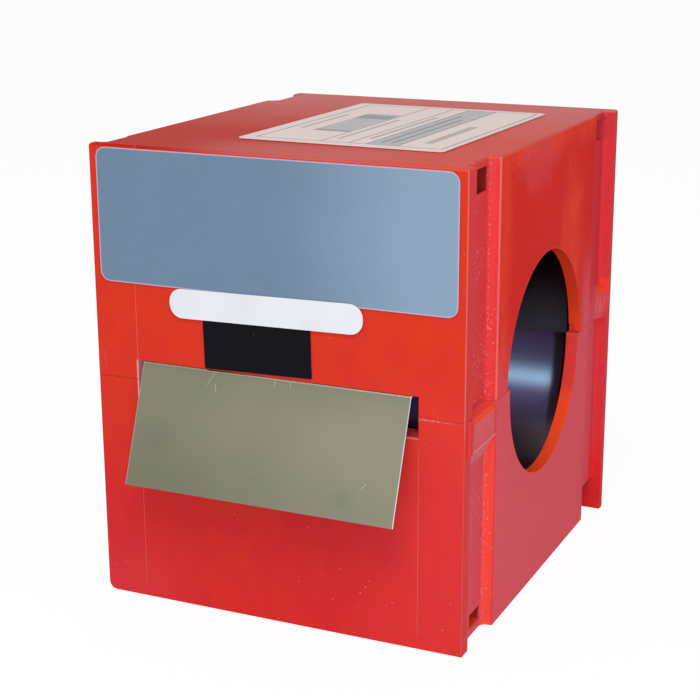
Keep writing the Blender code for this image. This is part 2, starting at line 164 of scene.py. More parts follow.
class ShellSettings(bpy.types.PropertyGroup):
    """Sizes and colours of the two moulded halves."""

    red: colour_setting("Red", "the upper front", (0.66, 0.040, 0.014))
    crimson: colour_setting("Crimson", "the lower front", (0.60, 0.024, 0.030))
    bright_red: colour_setting(
        "Bright red", "the flanges, rails and thin edges", (0.74, 0.046, 0.046)
    )
    rail_red: colour_setting("Rail red", "the rear rails", (0.65, 0.039, 0.050))
    deep_red: colour_setting("Deep red", "the side walls", (0.72, 0.008, 0.003))
    # Pale pink of dust, with a painted sheen of reflected floor light, mostly low on the box.
    dust_and_sheen_red: colour_setting("Dusty red", "the rubbed sides and grooves", (0.745, 0.092, 0.125))
    # Darker red of the top's left end.
    left_top_red: colour_setting("Worn red", "the worn top", (0.52, 0.014, 0.002))
    top_red: colour_setting("Top red", "the top at the right", (0.70, 0.082, 0.058))
    # Painted sheen: the whitish rear of the top.
    top_sheen_red: colour_setting("Bloomed red", "the dull rear of the top", (0.64, 0.142, 0.130))
    glow_red: colour_setting("Glow red", "the lit edges and thin places", (0.95, 0.072, 0.019))
    # Painted shade on the walls inside the box.
    inner_shade_red: colour_setting("Inner red", "the dark inner walls", (0.26, 0.018, 0.014))
    # Pale plastic of scuffs and stress marks, also used for painted highlights.
    scuff_and_highlight: colour_setting("Scuff", "rubbed and stressed plastic", (0.85, 0.30, 0.32))
    edge_radius: FloatProperty(
        name="Edge radius", description="Radius of the moulded edges",
        default=0.00018, min=0.0, unit="LENGTH",
    )
    foot_radius: FloatProperty(
        name="Foot radius", description="Radius of the front left rail's foot",
        default=0.0015, min=0.0005, unit="LENGTH",
    )
    edge_steps: IntProperty(
        name="Edge steps", description="Facets round each moulded edge", default=2, min=1,
    )
    roughness: FloatProperty(
        name="Roughness", description="Roughness of the plastic",
        default=0.46, min=0.0, max=1.0, subtype="FACTOR",
    )
    closing: FloatProperty(
        name="Closing", description="How far each half's edge closes on the parting line",
        default=0.00012, min=0.0, unit="LENGTH",
    )


class StripSettings(bpy.types.PropertyGroup):
    """Sizes and colours of the steel strip."""

    steel: colour_setting("Steel", "the rolled steel", (0.244, 0.235, 0.173))
    dull_steel: colour_setting(
        "Dull steel", "the duller free corner and of dull patches", (0.161, 0.157, 0.108)
    )
    # Painted reflection: the bluer band on the wound part.
    reflected_blue_steel: colour_setting(
        "Cool steel", "the wound part where it is cleanest", (0.20, 0.30, 0.43)
    )
    # Painted reflection: the wound part's bluish purple tint.
    reflected_purple_steel: colour_setting("Oiled steel", "the oiled wound part", (0.225, 0.185, 0.37))
    # Painted shade on the wound part's underside and far edge.
    shaded_coil_steel: colour_setting(
        "Tarnished steel", "the wound part's underside and far edge", (0.080, 0.052, 0.072)
    )
    # Painted shade on the coil behind the slot.
    slot_shade_steel: colour_setting("Dark steel", "the strip inside the slot", (0.170, 0.130, 0.37))
    # Bluish grey of the first stretch from the inner end.
    first_stretch_steel: colour_setting("Black steel", "the blackened first stretch", (0.230, 0.270, 0.360))
    smudge: colour_setting("Smudge", "finger marks", (0.120, 0.125, 0.110))
    # Bright steel of cut edges and scratches, also a painted highlight on the right slit edge.
    cut_edge_and_highlight: colour_setting("Cut edge", "the strip's slit edges", (0.62, 0.60, 0.66))
    roughness: FloatProperty(
        name="Roughness", description="Roughness of the steel",
        default=0.25, min=0.0, max=1.0, subtype="FACTOR",
    )
    tinted: FloatProperty(
        name="Blackened", description="Length of the blackened first stretch",
        default=0.080, min=0.0, unit="LENGTH",
    )
    thickness: FloatProperty(
        name="Thickness", description="Thickness of the strip", default=0.000092, unit="LENGTH",
    )
    pitch: FloatProperty(
        name="Pitch", description="Distance from one turn to the next",
        default=0.0001, unit="LENGTH",
    )
    inner_end: FloatProperty(
        name="Inner end", description="Angle of the strip's inner end, up from the rear",
        default=math.radians(0.7), subtype="ANGLE",
    )
    turns: IntProperty(
        name="Turns", description="Whole turns of the coil", default=11, min=1,
    )
    steps: IntProperty(
        name="Steps", description="Facets in one turn", default=120, min=12,
    )
    lean: FloatProperty(
        name="Lean", description="How far the hanging end leans out of upright",
        default=math.radians(20.8), subtype="ANGLE",
    )
    hang: FloatProperty(
        name="Hang", description="Length of the strip below its bend",
        default=0.0211, unit="LENGTH",
    )
    flat_steps: IntProperty(
        name="Flat steps", description="Facets along the hanging end", default=12, min=1,
    )
    bend_radius: FloatProperty(
        name="Bend radius", description="Radius of the bend over the slot",
        default=0.0012, unit="LENGTH",
    )


class LabelSettings(bpy.types.PropertyGroup):
    """Colours of the stickers."""

    film: colour_setting("Film", "the front label's metallic film", (0.145, 0.222, 0.325))
    # Painted reflection: the film at its brightest.
    film_sheen: colour_setting(
        "Film at the right", "the film where it is brightest", (0.230, 0.340, 0.460)
    )
    rim: colour_setting("Rim", "the front label's bare rim", (0.52, 0.44, 0.60))
    white: colour_setting("White", "the round-ended sticker", (0.745, 0.765, 0.805))
    white_shade: colour_setting(
        "White shade", "the white sticker's duller patches", (0.64, 0.66, 0.70)
    )
    black: colour_setting("Black", "the black sticker", (0.005, 0.005, 0.008))
    paper: colour_setting("Paper", "the ruled paper", (0.86, 0.72, 0.67))
    rule: colour_setting("Rule", "the paper's ruled lines", (0.06, 0.08, 0.09))
    shade: colour_setting("Shade", "the paper's shaded cells", (0.36, 0.40, 0.42))


class StageSettings(bpy.types.PropertyGroup):
    """The floor, the lamps and the camera."""

    floor: colour_setting("Floor", "the floor", (0.86, 0.86, 0.86))
    lens: FloatProperty(name="Lens", description="Focal length in millimetres", default=82.697)
    azimuth: FloatProperty(
        name="Azimuth", description="How far the camera is turned left of straight on",
        default=math.radians(24.616), subtype="ANGLE",
    )
    elevation: FloatProperty(
        name="Elevation", description="How far the camera looks down",
        default=math.radians(15.991), subtype="ANGLE",
    )
    roll: FloatProperty(
        name="Roll", description="Turn of the camera about its view",
        default=math.radians(-0.2422), subtype="ANGLE",
    )
    place: FloatVectorProperty(
        name="Place", description="Where the camera stands",
        default=(0.117373, -0.265495, 0.122499), subtype="TRANSLATION", unit="LENGTH",
    )


SETTINGS = {
    "dispenser_shells": ShellSettings,
    "dispenser_strip": StripSettings,
    "dispenser_labels": LabelSettings,
    "dispenser_stage": StageSettings,
}


class Finish:
    """A material whose nodes are added and joined up one after another."""

    def __init__(self, name):
        self.material = bpy.data.materials.new(name)
        self.material.use_nodes = True
        self.tree = self.material.node_tree
        self.surface = self.tree.nodes["Principled BSDF"]
        self.place = self.add("ShaderNodeTexCoord").outputs["Object"]
        parts = self.add("ShaderNodeSeparateXYZ", {"Vector": self.place})
        self.x, self.y, self.z = parts.outputs

    def add(self, kind, inputs=None, **settings):
        """One node. Its inputs are numbers, colours or other nodes' outputs."""
        node = self.tree.nodes.new(kind)
        for name, value in settings.items():
            setattr(node, name, value)
        for name, value in (inputs or {}).items():
            if isinstance(value, bpy.types.NodeSocket):
                self.tree.links.new(value, node.inputs[name])
            else:
                node.inputs[name].default_value = value
        return node

    def maths(self, operation, first, second=0.0, clamp=False):
        inputs = {0: first, 1: second}
        return self.add("ShaderNodeMath", inputs, operation=operation, use_clamp=clamp).outputs[0]

    def product(self, *values):
        result = values[0]
        for value in values[1:]:
            result = self.maths("MULTIPLY", result, value)
        return result

    def most(self, *values):
        result = values[0]
        for value in values[1:]:
            result = self.maths("MAXIMUM", result, value)
        return result

    def rise(self, value, low, high, bottom=0.0, top=1.0):
        """Goes smoothly from bottom at low to top at high. Low may be the greater."""
        inputs = {"Value": value, "From Min": low, "From Max": high}
        inputs.update({"To Min": bottom, "To Max": top})
        node = self.add("ShaderNodeMapRange", inputs, interpolation_type="SMOOTHSTEP")
        return node.outputs["Result"]

    def within(self, value, low, high, soft):
        """1 between low and high, and 0 outside them, over soft edges."""
        return self.product(
            self.rise(value, low - soft / 2, low + soft / 2),
            self.rise(value, high + soft / 2, high - soft / 2),
        )

    def patch(self, along, up, middle, reach):
        """A soft oval patch with an uneven outline."""
        sides = [
            self.maths("DIVIDE", self.maths("SUBTRACT", value, centre), size)
            for value, centre, size in zip((along, up), middle, reach)
        ]
        away = self.maths("ADD", *[self.product(side, side) for side in sides])
        uneven = self.rise(self.noise(130.0, 2.0), 0.3, 0.7, -0.35, 0.35)
        return self.rise(self.maths("ADD", away, uneven), 1.4, 0.0)

    def reach(self, first, second):
        """The distance that two sides at right angles span."""
        squares = self.maths("ADD", self.product(first, first), self.product(second, second))
        return self.maths("SQRT", squares)

    def stretched(self, scale, vector=None):
        """The place, or another vector, with each axis scaled."""
        inputs = {"Vector": vector or self.place, "Scale": scale}
        return self.add("ShaderNodeMapping", inputs).outputs["Vector"]

    def noise(self, scale, detail=2.0, vector=None):
        inputs = {"Vector": vector or self.place, "Scale": scale, "Detail": detail}
        return self.add("ShaderNodeTexNoise", inputs).outputs["Fac"]

    def mix(self, factor, first, second):
        node = self.add("ShaderNodeMix", {"Factor": factor}, data_type="RGBA")
        sockets = [item for item in node.inputs if item.type == "RGBA"]
        for socket, value in zip(sockets, (first, second)):
            if isinstance(value, bpy.types.NodeSocket):
                self.tree.links.new(value, socket)
            else:
                socket.default_value = (*value, 1.0)
        return [item for item in node.outputs if item.type == "RGBA"][0]

    def bump(self, height, distance, strength=1.0, normal=None):
        inputs = {"Height": height, "Distance": distance, "Strength": strength}
        if normal:
            inputs["Normal"] = normal
        return self.add("ShaderNodeBump", inputs).outputs["Normal"]

    def set(self, name, value):
        """Sets or joins one input of the surface."""
        socket = self.surface.inputs[name]
        if isinstance(value, bpy.types.NodeSocket):
            self.tree.links.new(value, socket)
        elif socket.type == "RGBA":
            socket.default_value = (*value, 1.0)
        else:
            socket.default_value = value


def specks(finish, spacing, size, share):
    """Small round marks, one at most in each cell, in a share of the cells."""
    start = {"Vector": finish.place, "Location": SPECK_START}
    moved = finish.add("ShaderNodeMapping", start).outputs["Vector"]
    cells = finish.add("ShaderNodeTexVoronoi", {"Vector": moved, "Scale": 1.0 / spacing})
    spot = finish.rise(cells.outputs["Distance"], size / spacing, 0.4 * size / spacing)
    parts = finish.add("ShaderNodeSeparateColor", {"Color": cells.outputs["Color"]})
    chosen = finish.maths("LESS_THAN", parts.outputs[0], share)
    return finish.product(spot, chosen)


class ShellFinish(Finish):
    """The moulded plastic, with the places and patterns that its colours go by."""

    def __init__(self, settings):
        super().__init__("red_plastic")
        self.settings = settings
        self.across = self.maths("ABSOLUTE", self.x)
        # The box looks the same after half a turn, so depth is read from the near end of a side.
        self.depth = self.product(self.y, self.maths("SIGN", self.x))
        self.below = self.rise(self.z, PARTING + PART_GAP, PARTING - PART_GAP)
        self.cloud = self.noise(36.0, 3.0, self.stretched((1.0, 1.0, 0.5)))
        self.mottle = self.noise(260.0, 3.0, self.stretched((1.0, 1.0, 0.6)))
        self.fleck = self.noise(2300.0)
        self.streaks = self.noise(1.0, 3.0, self.stretched((3400.0, 3400.0, 190.0)))
        self.in_groove = self.product(
            self.within(self.across, PANEL_X - 0.0034, PANEL_X - 0.0002, 0.0002),
            self.within(self.depth, FRONT + 0.0026, PANEL_START + 0.0004, 0.0004),
        )
        self.panel = self.product(
            self.rise(self.across, PANEL_X - 0.0012, PANEL_X - 0.0004),
            self.within(self.depth, PANEL_START + 0.0002, PANEL_END - 0.0002, 0.0008),
        )
        self.on_block = self.product(
            self.rise(self.across, GROOVE_X + 0.0002, GROOVE_X + 0.0006),
            self.within(self.depth, FRONT + 0.003, PANEL_START - 0.0004, 0.0006),
        )
        self.on_catch = self.rise(self.across, LAND_X + 0.0002, LAND_X + 0.0006)
        near_slot = self.product(
            self.within(self.x, SLOT_START - 0.0020, SLOT_END + 0.0020, 0.0004),
            self.rise(self.y, FRONT + 0.0090, FRONT + 0.0070),
            self.within(self.z, SLOT_BOTTOM - 0.0030, SLOT_TOP + 0.0010, 0.0004),
        )
        self.inside = self.product(
            self.rise(self.across, GROOVE_X - 0.0001, GROOVE_X - 0.0004),
            self.within(self.y, FRONT + 0.0018, REAR - 0.0018, 0.0004),
            self.within(self.z, 0.0010, TOP - 0.0010, 0.0004),
            self.maths("SUBTRACT", 1.0, near_slot),
        )

    def outer_colour(self):
        """The front and rear faces, the flanges and the rails."""
        settings = self.settings
        low_down = self.maths(
            "ADD", self.rise(self.z, 0.040, 0.016), self.rise(self.cloud, 0.3, 0.7, -0.25, 0.25),
            clamp=True,
        )
        mottled = self.rise(self.mottle, 0.35, 0.65, 0.0, 0.25)
        low_down = self.maths("ADD", self.product(low_down, 0.75), mottled)
        face_colour = self.mix(low_down, settings.red, settings.crimson)
        lit_corner = self.product(
            self.rise(self.x, 0.006, 0.032), self.rise(self.z, 0.050, 0.036), 0.45
        )
        face_colour = self.mix(lit_corner, face_colour, settings.bright_red)
        # Dust and a painted sheen: paler pink at the lower left of the front.
        low_corner = self.product(
            self.rise(self.x, -0.012, -0.030), self.rise(self.z, 0.016, 0.002), 0.12
        )
        face_colour = self.mix(low_corner, face_colour, settings.dust_and_sheen_red)
        rear = self.product(
            self.rise(self.depth, PANEL_END - 0.0002, PANEL_END + 0.0006),
            self.rise(self.across, 0.026, 0.032),
        )
        edge_colour = self.mix(rear, settings.bright_red, settings.rail_red)
        rail_foot = self.product(rear, self.rise(self.z, 0.018, 0.008, 0.0, 0.5))
        edge_colour = self.mix(rail_foot, edge_colour, settings.deep_red)
        on_face = self.rise(self.maths("ABSOLUTE", self.y), REAR - 0.0006, REAR - 0.0002)
        return self.mix(on_face, edge_colour, face_colour)

    def in_grooves(self, colour):
        """Adds dust and a painted sheen on the groove floors and the lands by the rails, and
        painted light on the lower step.
        """
        settings = self.settings
        on_step = self.rise(self.depth, PANEL_START - 0.0006, PANEL_START - 0.0003)
        lit_step = self.product(self.below, on_step, 0.7)
        floor_colour = self.mix(lit_step, settings.dust_and_sheen_red, settings.glow_red)
        floor_dust_and_sheen = self.product(
            self.in_groove, self.rise(self.z, PARTING + PART_GAP, PARTING, 0.14, 0.90)
        )
        colour = self.mix(floor_dust_and_sheen, colour, floor_colour)
        land_dust_and_sheen = self.product(
            self.rise(self.across, LAND_X - 0.0004, LAND_X - 0.0002),
            self.within(self.depth, PANEL_END, PANEL_END + 0.0060, 0.0020),
            self.rise(self.z, 0.050, 0.040, 0.0, 0.85),
        )
        return self.mix(land_dust_and_sheen, colour, settings.dust_and_sheen_red)

    def side_colour(self):
        """The side panels, with a painted glow where they are thin, and pale pink round the parting
        line from dust and a painted sheen.
        """
        streak = self.patch(self.depth, self.z, (0.0160, 0.0610), (0.0080, 0.0150))
        # Painted glow: warmer by the panels' front edges, by the top and along an upright orange
        # streak.
        thin = self.most(
            self.rise(self.depth, PANEL_START + 0.009, PANEL_START + 0.001, 0.0, 0.75),
            self.rise(self.z, TOP - 0.006, TOP - 0.0005, 0.0, 0.80),
            self.rise(self.cloud, 0.42, 0.75, 0.0, 0.25),
            self.product(streak, 0.8),
        )
        thin = self.product(thin, self.rise(self.mottle, 0.25, 0.75, 0.25, 0.75))
        colour = self.mix(thin, self.settings.deep_red, self.settings.glow_red)
        sheen_below_joint = self.product(self.below, self.rise(self.cloud, 0.25, 0.75, 0.80, 1.0))
        above_joint = self.product(
            self.rise(self.z, 0.052, PARTING, 0.0, 0.55),
            self.rise(self.depth, PANEL_START + 0.014, PANEL_START + 0.002),
        )
        beside_hole = self.product(
            self.rise(self.depth, HOLE_Y + HOLE_RADIUS - 0.002, PANEL_END - 0.002),
            self.within(self.z, 0.024, 0.052, 0.020),
        )
        by_top = self.patch(self.depth, self.z, (-0.0040, 0.0785), (0.0110, 0.0065))
        # Dust and a painted sheen of reflected floor light, strongest below the parting line.
        dust = self.most(sheen_below_joint, above_joint, beside_hole, self.product(by_top, 0.3))
        dust = self.product(dust, self.rise(self.mottle, 0.25, 0.75, 0.90, 1.0))
        return self.mix(dust, colour, self.settings.dust_and_sheen_red)

    def top_colour(self):
        """The top, darker to the left, with a painted sheen that pales it to the rear, and paler by
        its front edge.
        """
        leftward = self.rise(self.x, 0.030, -0.020)
        colour = self.mix(leftward, self.settings.top_red, self.settings.left_top_red)
        # Painted sheen, growing towards the rear.
        far = self.maths(
            "ADD", self.rise(self.y, -0.020, 0.034), self.rise(self.cloud, 0.3, 0.7, -0.15, 0.12)
        )
        pale_by_front_edge = self.product(
            self.within(self.x, -0.014, 0.018, 0.020), self.rise(self.y, -0.022, -0.030, 0.0, 0.6)
        )
        return self.mix(self.most(far, pale_by_front_edge), colour, self.settings.top_sheen_red)

    def inner_walls(self, colour):
        """Paints shade on the inside of the box, and a painted glow on the sills of the lower
        windows.
        """
        colour = self.mix(self.inside, colour, self.settings.inner_shade_red)
        # Painted glow on the sills of the lower windows.
        lower_sill = self.product(
            self.within(self.depth, PANEL_START - 0.0064, PANEL_START - 0.0010, 0.0004),
            self.within(self.across, GROOVE_X - 0.0026, GROOVE_X - 0.0002, 0.0002),
            self.rise(self.z, 0.0036, 0.0016),
        )
        return self.mix(lower_sill, colour, self.settings.glow_red)

    def hole_walls(self, colour):
        """Brightens the walls of the finger holes, where light comes through."""
        from_axis = self.reach(
            self.maths("SUBTRACT", self.y, HOLE_Y), self.maths("SUBTRACT", self.z, HOLE_Z)
        )
        radius = self.rise(self.below, 0.4, 0.6, HOLE_RADIUS, LOWER_HOLE_RADIUS)
        rim = self.product(
            self.rise(self.maths("SUBTRACT", from_axis, radius), 0.00030, 0.00012),
            self.rise(self.across, PANEL_X - 0.0040, PANEL_X - 0.0030),
        )
        low = self.rise(self.z, 0.050, 0.034, 0.2, 1.0)
        rim_colour = self.mix(low, self.settings.red, self.settings.glow_red)
        crimson_wall = self.product(self.within(self.z, 0.030, PARTING, 0.003), 0.8)
        rim_colour = self.mix(crimson_wall, rim_colour, self.settings.bright_red)
        return self.mix(rim, colour, rim_colour)

    def flecks(self):
        """Pale flecks in and by the grooves, on their inner lines, and a few elsewhere."""
        near_groove = self.product(
            self.panel, self.rise(self.depth, PANEL_START + 0.013, PANEL_START, 0.0, 0.8)
        )
        wear = self.product(
            self.most(self.in_groove, near_groove),
            self.rise(self.noise(110.0), 0.40, 0.62),
            self.rise(self.fleck, 0.60, 0.70),
            0.60,
        )
        line_wear = self.product(
            self.within(self.across, GROOVE_X + 0.0001, GROOVE_X + 0.0004, 0.0002),
            self.within(self.depth, PANEL_START - 0.0006, PANEL_START + 0.0004, 0.0002),
            self.rise(self.fleck, 0.52, 0.64),
            0.5,
        )
        few = self.product(
            self.rise(self.noise(1500.0, 1.0), 0.745, 0.79),
            self.rise(self.noise(70.0, 1.0), 0.45, 0.6),
            0.45,
        )
        return self.most(wear, line_wear, few)

    def rubbed_blocks(self):
        """Fine upright streaks on the stop blocks."""
        return self.product(
            self.on_block,
            self.within(self.z, PARTING - STOP_FOOT, PARTING - 0.0012, 0.0008),
            self.rise(self.streaks, 0.35, 0.75, 0.35, 1.0),
        )

    def pale_marks_and_highlights(self):
        """Stress marks, catch streaks with painted sheen, and painted highlights at block feet and
        corners.
        """
        stop = PARTING - STOP_HEIGHT
        # Painted highlight along the stop blocks' feet.
        block_foot_highlight = self.product(
            self.rise(self.across, GROOVE_X + 0.0004, GROOVE_X + 0.0010),
            self.within(self.depth, FRONT + 0.003, PANEL_START, 0.0006),
            self.within(self.z, stop - 0.0002, stop + 0.0001, 0.0002),
        )
        # Streaks on the catch blocks, partly a painted sheen.
        catch_scuff_and_sheen = self.product(
            self.on_catch,
            self.within(self.depth, RAIL_FACE - 0.0038, RAIL_FACE + 0.0016, 0.0010),
            self.within(self.z, PARTING + 0.0012, PARTING + 0.0044, 0.0010),
            self.rise(self.streaks, 0.35, 0.70),
            0.30,
        )
        joint_bits = self.product(
            self.within(self.z, PARTING - 0.00042, PARTING - 0.00004, 0.00010),
            self.rise(self.fleck, 0.40, 0.60),
            self.rise(self.x, SLOT_END + 0.0075, SLOT_END + 0.0020, 0.15, 1.0),
            self.rise(self.x, SLOT_END - 0.0002, SLOT_END + 0.0002),
            0.45,
        )
        # Painted highlights along the flanges' and panels' outer corners.
        flange_corner_highlight = self.product(
            self.within(self.across, FLANGE_X - 0.00018, FLANGE_X + 0.0005, 0.0001),
            self.within(self.depth, FRONT - 0.0005, FRONT + 0.00024, 0.0001),
            self.rise(self.z, PARTING - 0.004, PARTING + 0.001, 0.10, 0.32),
        )
        panel_corner_highlight = self.product(
            self.within(self.across, PANEL_X - 0.00026, PANEL_X + 0.0005, 0.0001),
            self.within(self.depth, PANEL_START - 0.0005, PANEL_START + 0.00030, 0.0001),
            self.rise(self.z, PARTING - 0.001, PARTING + 0.001, 0.0, 0.42),
        )
        return self.most(block_foot_highlight, catch_scuff_and_sheen, joint_bits, flange_corner_highlight, panel_corner_highlight)

    def slot_edges(self):
        """A painted highlight on the slot's left end, and a pale line along the front edge of its
        lip.
        """
        # Painted highlight on the slot's left end.
        left_end_highlight = self.product(
            self.rise(self.y, FRONT + 0.0030, FRONT + 0.0020),
            self.within(self.x, SLOT_START - 0.0003, SLOT_START + 0.0003, 0.0002),
            self.within(self.z, SLOT_BOTTOM, SLOT_TOP, 0.0002),
        )
        lip = self.product(
            self.rise(self.y, FRONT + 0.0004, FRONT + 0.0002),
            self.within(self.x, SLOT_START, SLOT_END, 0.0002),
            self.within(self.z, SLOT_BOTTOM - 0.00030, SLOT_BOTTOM + 0.0002, 0.0001),
            0.35,
        )
        return self.most(left_end_highlight, lip)

    def lit_ledges(self):
        """The upper edges of the stop blocks and of the catch blocks."""
        block_top = self.product(
            self.on_block, self.within(self.z, PARTING - 0.0014, PARTING, 0.0006)
        )
        catch_top = self.product(
            self.on_catch,
            self.within(self.depth, RAIL_FACE - 0.0040, RAIL_FACE + 0.0008, 0.0006),
            self.within(self.z, PARTING + 0.0046, PARTING + 0.0078, 0.0010),
            0.5,
        )
        return self.most(block_top, catch_top)

    def witness_lines(self):
        """Lines of the mould insert, up and down from the ends of the slot."""
        lines = self.most(
            self.within(self.x, SLOT_START - 0.00012, SLOT_START + 0.00002, 0.00006),
            self.within(self.x, SLOT_END - 0.00002, SLOT_END + 0.00012, 0.00006),
        )
        upper_end = self.rise(self.x, SLOT_START, SLOT_END, 0.060, SLOT_BOTTOM - 0.002)
        return self.product(
            lines,
            self.rise(self.y, FRONT + 0.0006, FRONT + 0.0002),
            self.rise(self.z, 0.001, 0.004),
            self.rise(self.maths("SUBTRACT", self.z, upper_end), 0.001, -0.001),
        )


def red_plastic(settings):
    """Semi-gloss moulded plastic with painted glow, shade, sheen and highlights, and paler where it
    is rubbed.
    """
    red = ShellFinish(settings)
    colour = red.in_grooves(red.outer_colour())
    colour = red.mix(red.panel, colour, red.side_colour())
    on_top = red.rise(red.z, TOP - 0.0006, TOP - 0.0002)
    colour = red.mix(on_top, colour, red.top_colour())
    colour = red.hole_walls(red.inner_walls(colour))
    colour = red.mix(red.lit_ledges(), colour, settings.glow_red)

    rubbed = red.rubbed_blocks()
    # Pale marks: scuffs, rubbed streaks and stress marks, with painted highlights on corners, block
    # feet and the slot's left end.
    pale = red.most(red.flecks(), red.product(rubbed, 0.50), red.pale_marks_and_highlights())
    pale = red.product(pale, red.maths("SUBTRACT", 1.0, red.inside))
    pale = red.most(pale, red.slot_edges())
    seam = red.witness_lines()
    colour = red.mix(pale, colour, settings.scuff_and_highlight)
    colour = red.mix(red.product(seam, 0.22), colour, settings.scuff_and_highlight)
    red.set("Base Color", colour)

    grain = red.noise(2600.0)
    rough = red.rise(grain, 0.3, 0.7, settings.roughness - 0.04, settings.roughness + 0.06)
    red.set("Roughness", red.maths("ADD", rough, red.product(pale, 0.2)))
    normal = red.bump(red.noise(120.0), 0.00012, 0.35)
    normal = red.bump(grain, 0.000010, 1.0, normal)
    normal = red.bump(seam, 0.00003, 1.0, normal)
    red.set("Normal", red.bump(rubbed, 0.00003, 1.0, normal))
    red.set("Specular IOR Level", 0.025)
    return red.material


def rolled_steel(settings):
    """Cold rolled steel with a fine grain along the strip, bright slit edges, and painted light and
    shade.
    """
    steel = Finish("rolled_steel")
    strip_map = steel.add("ShaderNodeUVMap", uv_map="strip").outputs["UV"]
    parts = steel.add("ShaderNodeSeparateXYZ", {"Vector": strip_map})
    across, along = parts.outputs[0], parts.outputs[1]
    wound = strip_length(settings) - LEAD_LENGTH
    grain = steel.noise(1.0, 2.0, steel.stretched((2400.0, 60.0, 1.0), strip_map))
    cloud = steel.noise(1.0, 2.0, steel.stretched((70.0, 55.0, 1.0), strip_map))
    chatter = steel.noise(1.0, 2.0, steel.stretched((110.0, 2600.0, 1.0), strip_map))

    # The hanging end is brightest at its upper right corner: its lighter right side is painted
    # light, and it grows duller towards its free end.
    wear = steel.maths(
        "ADD",
        steel.rise(across, STRIP_WIDTH, 0.0, 0.0, 0.35),
        steel.rise(along, wound + 0.026, wound + LEAD_LENGTH, 0.0, 0.58),
    )
    wear = steel.maths("ADD", wear, steel.rise(cloud, 0.3, 0.7, -0.02, 0.12), clamp=True)
    wear = steel.maths("ADD", wear, steel.rise(chatter, 0.3, 0.7, -0.035, 0.035), clamp=True)
    colour = steel.mix(wear, settings.steel, settings.dull_steel)
    from_end = steel.maths("SUBTRACT", wound + LEAD_LENGTH, along)
    for place, height, reach, share in STRIP_SMUDGES:
        away = steel.reach(
            steel.maths("SUBTRACT", across, place), steel.maths("SUBTRACT", from_end, height)
        )
        away = steel.maths("ADD", away, steel.rise(cloud, 0.2, 0.8, -reach / 2, reach / 2))
        colour = steel.mix(steel.rise(away, reach, 0.0, 0.0, share), colour, settings.smudge)
    for place, height, lean, reach in STRIP_SCRATCHES:
        run = steel.maths("SUBTRACT", from_end, height)
        aside = steel.maths("SUBTRACT", across, place)
        aside = steel.maths("SUBTRACT", aside, steel.product(run, lean))
        scratch = steel.product(
            steel.within(aside, -SCRATCH_WIDTH / 2, SCRATCH_WIDTH / 2, SCRATCH_WIDTH),
            steel.within(run, -reach, reach, reach),
            0.5,
        )
        colour = steel.mix(scratch, colour, settings.cut_edge_and_highlight)

    # Painted reflection tints the wound part, bluer in a band below the middle; painted shade
    # darkens its underside and far edge.
    blue_band = steel.within(steel.z, COIL_Z - 0.0114, COIL_Z - 0.0056, 0.0040)
    coil_colour = steel.mix(blue_band, settings.reflected_purple_steel, settings.reflected_blue_steel)
    coil_shade = steel.most(
        steel.rise(steel.z, COIL_Z - 0.0128, COIL_Z - 0.0200),
        steel.rise(steel.x, LEAD_X + 0.0258, LEAD_X + 0.0268),
    )
    coil_colour = steel.mix(coil_shade, coil_colour, settings.shaded_coil_steel)
    # The first stretch from the inner end has its own bluish grey tint.
    black = steel.rise(along, settings.tinted + 0.002, settings.tinted)
    coil_colour = steel.mix(black, coil_colour, settings.first_stretch_steel)
    # Painted shade: the coil is darker and bluer behind the slot's right end.
    by_slot = steel.product(
        steel.rise(steel.x, LEAD_X + 0.0195, LEAD_X + 0.0215),
        steel.rise(steel.y, FRONT + 0.012, FRONT + 0.008),
        steel.within(steel.z, SLOT_BOTTOM - 0.004, SLOT_TOP + 0.010, 0.002),
    )
    coil_colour = steel.mix(by_slot, coil_colour, settings.slot_shade_steel)
    wound_up = steel.rise(along, wound + 0.006, wound + 0.002)
    # Painted highlight: the slit edges are lighter, the right one much more than the left.
    slit = steel.maths(
        "ADD",
        steel.rise(across, STRIP_WIDTH - 0.00020, STRIP_WIDTH - 0.00008, 0.0, 0.9),
        steel.rise(across, 0.00020, 0.00008, 0.0, 0.25),
    )
    colour = steel.mix(slit, colour, settings.cut_edge_and_highlight)
    colour = steel.mix(wound_up, colour, coil_colour)
    steel.set("Base Color", colour)
    steel.set("Metallic", 1.0)
    rough = steel.rise(grain, 0.3, 0.7, settings.roughness - 0.005, settings.roughness + 0.005)
    steel.set("Roughness", steel.maths("ADD", rough, steel.product(wound_up, 0.06)))
    steel.set("Anisotropic", 0.97)
    tangent = steel.add("ShaderNodeTangent", direction_type="UV_MAP", uv_map="strip")
    steel.set("Tangent", tangent.outputs["Tangent"])
    steel.set("Normal", steel.bump(grain, 0.0000025))
    return steel.material


def label_film(settings):
    """Blue-silver film with a painted reflection brightening it to the right, and a bare cut rim.
    """
    film = Finish("label_film")
    low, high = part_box("front_label")
    fibre = film.noise(1400.0, 2.0)
    cloud = film.noise(60.0, 2.0)
    # Painted reflection: brighter to the right.
    right = film.rise(film.x, low.x + 0.030, high.x - 0.004)
    right = film.maths("ADD", right, film.rise(cloud, 0.3, 0.7, -0.05, 0.05))
    colour = film.mix(right, settings.film, settings.film_sheen)
    colour = film.mix(film.rise(fibre, 0.35, 0.65, 0.0, 0.03), colour, settings.rim)
    edge = rounded_edge(film, low, high, FRONT_LABEL_CORNER)
    rim = film.rise(edge, 0.00026, 0.00012, 0.0, 0.85)
    film.set("Base Color", film.mix(rim, colour, settings.rim))
    film.set("Metallic", 0.35)
    film.set("Roughness", 0.42)
    film.set("Specular IOR Level", 0.2)
    film.set("Normal", film.bump(fibre, 0.000006))
    return film.material


